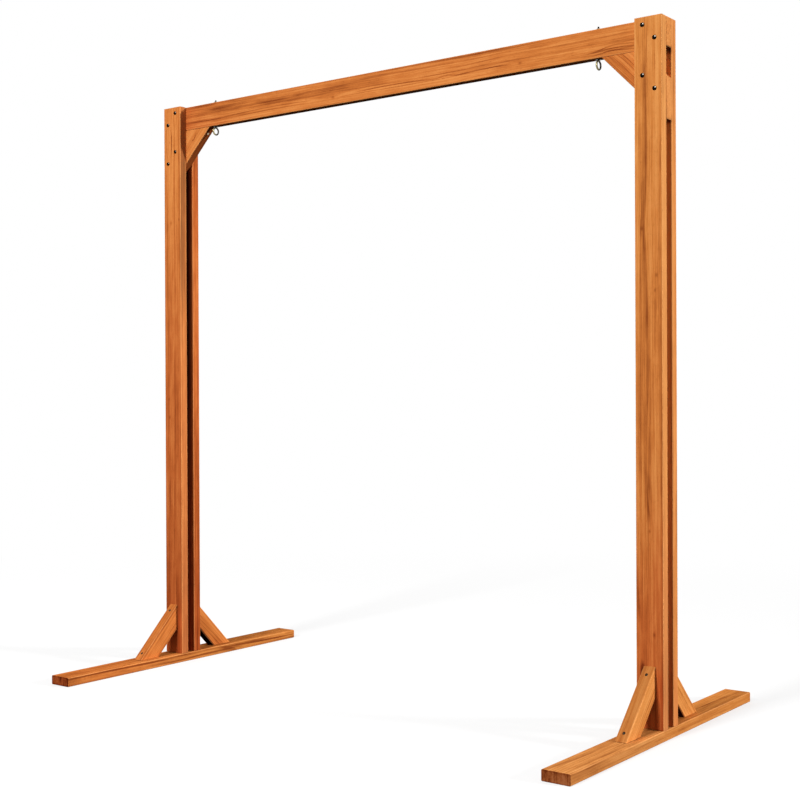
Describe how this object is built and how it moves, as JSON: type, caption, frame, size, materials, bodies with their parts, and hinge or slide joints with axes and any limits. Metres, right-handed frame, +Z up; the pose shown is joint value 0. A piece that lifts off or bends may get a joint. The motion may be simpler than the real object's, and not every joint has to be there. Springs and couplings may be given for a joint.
{
  "type": "wooden swing stand",
  "caption": "Free-standing wooden stand for a hanging swing: braced posts on floor runners, a crossbeam, and eye bolts under the beam.",
  "frame": {"origin": "on the floor, under the middle of the crossbeam", "axes": "+Z up, +X along the crossbeam to the right as the picture shows it, -Y to the front"},
  "size_m": [2.104, 1.192, 2.1447],
  "materials": {
    "beam_wood": "orange-brown stain, satin",
    "post_wood": "orange-brown stain, satin",
    "runner_wood": "honey-brown stain, satin",
    "brace_wood": "honey-brown stain, satin",
    "dark_bolt_steel": "dark bronze coated steel, semi-gloss",
    "screw_steel": "brown coated steel, satin",
    "eye_bolt_steel": "antique brass plated steel"
  },
  "bodies": {
    "root": {"crossbeam": "beam_wood", "floor_runner_right": "runner_wood", "knee_brace_right": "brace_wood", "knee_brace_right_screw": "screw_steel", "post_board_front_right": "post_wood", "foot_brace_front_right": "brace_wood", "foot_brace_front_right_upper_screw": "screw_steel", "foot_brace_front_right_lower_screw": "screw_steel", "post_foot_screw_front_right": "screw_steel", "post_board_rear_right": "post_wood", "foot_brace_rear_right": "brace_wood", "foot_brace_rear_right_upper_screw": "screw_steel", "foot_brace_rear_right_lower_screw": "screw_steel", "post_foot_screw_rear_right": "screw_steel", "beam_bolt_inner_right": "dark_bolt_steel", "beam_bolt_inner_right_washer": "dark_bolt_steel", "beam_bolt_inner_right_nut": "dark_bolt_steel", "beam_bolt_outer_right": "dark_bolt_steel", "beam_bolt_outer_right_washer": "dark_bolt_steel", "beam_bolt_outer_right_nut": "dark_bolt_steel", "knee_bolt_inner_right": "dark_bolt_steel", "knee_bolt_inner_right_washer": "dark_bolt_steel", "knee_bolt_inner_right_nut": "dark_bolt_steel", "knee_bolt_outer_right": "dark_bolt_steel", "knee_bolt_outer_right_washer": "dark_bolt_steel", "knee_bolt_outer_right_nut": "dark_bolt_steel", "eye_bolt_right": "eye_bolt_steel", "eye_bolt_right_lower_washer": "eye_bolt_steel", "eye_bolt_right_top_washer": "eye_bolt_steel", "eye_bolt_right_nut": "eye_bolt_steel", "floor_runner_left": "runner_wood", "knee_brace_left": "brace_wood", "knee_brace_left_screw": "screw_steel", "post_board_front_left": "post_wood", "foot_brace_front_left": "brace_wood", "foot_brace_front_left_upper_screw": "screw_steel", "foot_brace_front_left_lower_screw": "screw_steel", "post_foot_screw_front_left": "screw_steel", "post_board_rear_left": "post_wood", "foot_brace_rear_left": "brace_wood", "foot_brace_rear_left_upper_screw": "screw_steel", "foot_brace_rear_left_lower_screw": "screw_steel", "post_foot_screw_rear_left": "screw_steel", "beam_bolt_inner_left": "dark_bolt_steel", "beam_bolt_inner_left_washer": "dark_bolt_steel", "beam_bolt_inner_left_nut": "dark_bolt_steel", "beam_bolt_outer_left": "dark_bolt_steel", "beam_bolt_outer_left_washer": "dark_bolt_steel", "beam_bolt_outer_left_nut": "dark_bolt_steel", "knee_bolt_inner_left": "dark_bolt_steel", "knee_bolt_inner_left_washer": "dark_bolt_steel", "knee_bolt_inner_left_nut": "dark_bolt_steel", "knee_bolt_outer_left": "dark_bolt_steel", "knee_bolt_outer_left_washer": "dark_bolt_steel", "knee_bolt_outer_left_nut": "dark_bolt_steel", "eye_bolt_left": "eye_bolt_steel", "eye_bolt_left_lower_washer": "eye_bolt_steel", "eye_bolt_left_top_washer": "eye_bolt_steel", "eye_bolt_left_nut": "eye_bolt_steel"}
  },
  "joints": []
}
